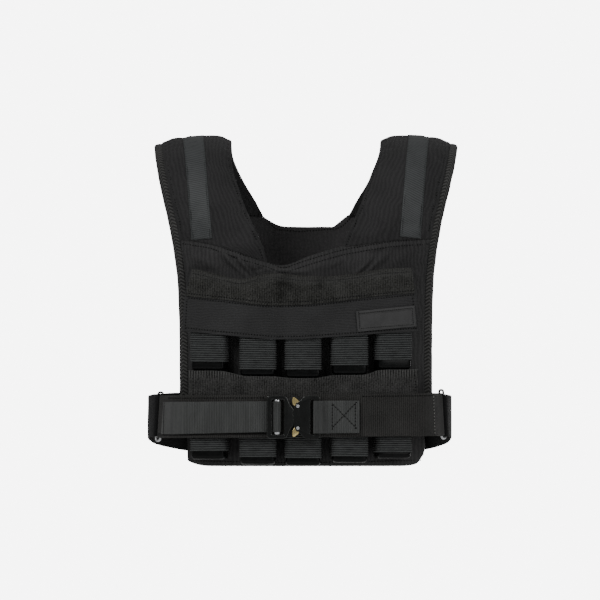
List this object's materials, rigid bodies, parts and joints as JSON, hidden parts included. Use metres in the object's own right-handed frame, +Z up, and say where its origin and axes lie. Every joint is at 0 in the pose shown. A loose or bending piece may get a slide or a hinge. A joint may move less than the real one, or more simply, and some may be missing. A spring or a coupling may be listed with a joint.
{
  "type": "weighted vest",
  "caption": "Short padded vest with rows of weight blocks in elastic sleeves, flaps, wide shoulder straps and a belt with a metal quick-release buckle.",
  "frame": {"origin": "midway between the undersides of the two shoulder straps at the top of the shoulders, where the vest hangs on its wearer", "axes": "+Z up, -Y out of the vest's front, +X towards the wearer's left"},
  "size_m": [0.4207, 0.2889, 0.4479],
  "materials": {
    "canvas": "matt woven cloth",
    "tape": "herringbone woven tape",
    "reflective_tape": "grey reflective tape with a fine twill",
    "loop_pile": "fuzzy loop pile",
    "elastic": "ribbed elastic",
    "webbing": "ribbed webbing",
    "patch_rubber": "satin moulded rubber",
    "block_coating": "glossy black coating over iron",
    "black_metal": "black anodised metal",
    "gold_metal": "polished gold-coloured metal",
    "bright_metal": "bright steel"
  },
  "bodies": {
    "vest": {"front_panel": "canvas", "back_panel": "canvas", "shoulder_left": "canvas", "shoulder_right": "canvas", "binding_left": "tape", "binding_right": "tape", "reflective_strip_left": "reflective_tape", "reflective_strip_right": "reflective_tape", "flap_cover": "canvas", "flap_loop_band": "loop_pile", "patch": "patch_rubber", "lower_flap": "loop_pile", "weight_upper_1": "block_coating", "weight_upper_2": "block_coating", "weight_upper_3": "block_coating", "weight_upper_4": "block_coating", "weight_upper_5": "block_coating", "weight_lower_1": "block_coating", "weight_lower_2": "block_coating", "weight_lower_3": "block_coating", "weight_lower_4": "block_coating", "weight_lower_5": "block_coating", "sleeve_upper_1": "elastic", "sleeve_upper_2": "elastic", "sleeve_upper_3": "elastic", "sleeve_upper_4": "elastic", "sleeve_upper_5": "elastic", "sleeve_lower_1": "elastic", "sleeve_lower_2": "elastic", "sleeve_lower_3": "elastic", "sleeve_lower_4": "elastic", "sleeve_lower_5": "elastic", "belt_left": "loop_pile", "belt_right": "loop_pile", "strap_left": "webbing", "strap_right": "webbing", "wing_left": "canvas", "wing_right": "canvas", "ring_left": "bright_metal", "ring_right": "bright_metal", "buckle_frame": "black_metal", "buckle_body": "black_metal", "adjuster_bar": "bright_metal", "rivet_upper": "bright_metal", "rivet_lower": "bright_metal"},
    "upper_clip": {"clip_upper": "gold_metal"},
    "lower_clip": {"clip_lower": "gold_metal"}
  },
  "joints": [
    {"name": "upper_clip_hinge", "type": "hinge", "parent": "vest", "child": "upper_clip", "pos_m": [-0.011, -0.1639, -0.3544], "axis": [0, -1, 0], "range_deg": [0, 7], "stiffness_Nm_per_rad": 0.3},
    {"name": "lower_clip_hinge", "type": "hinge", "parent": "vest", "child": "lower_clip", "pos_m": [-0.011, -0.1639, -0.384], "axis": [0, 1, 0], "range_deg": [0, 7], "stiffness_Nm_per_rad": 0.3}
  ]
}
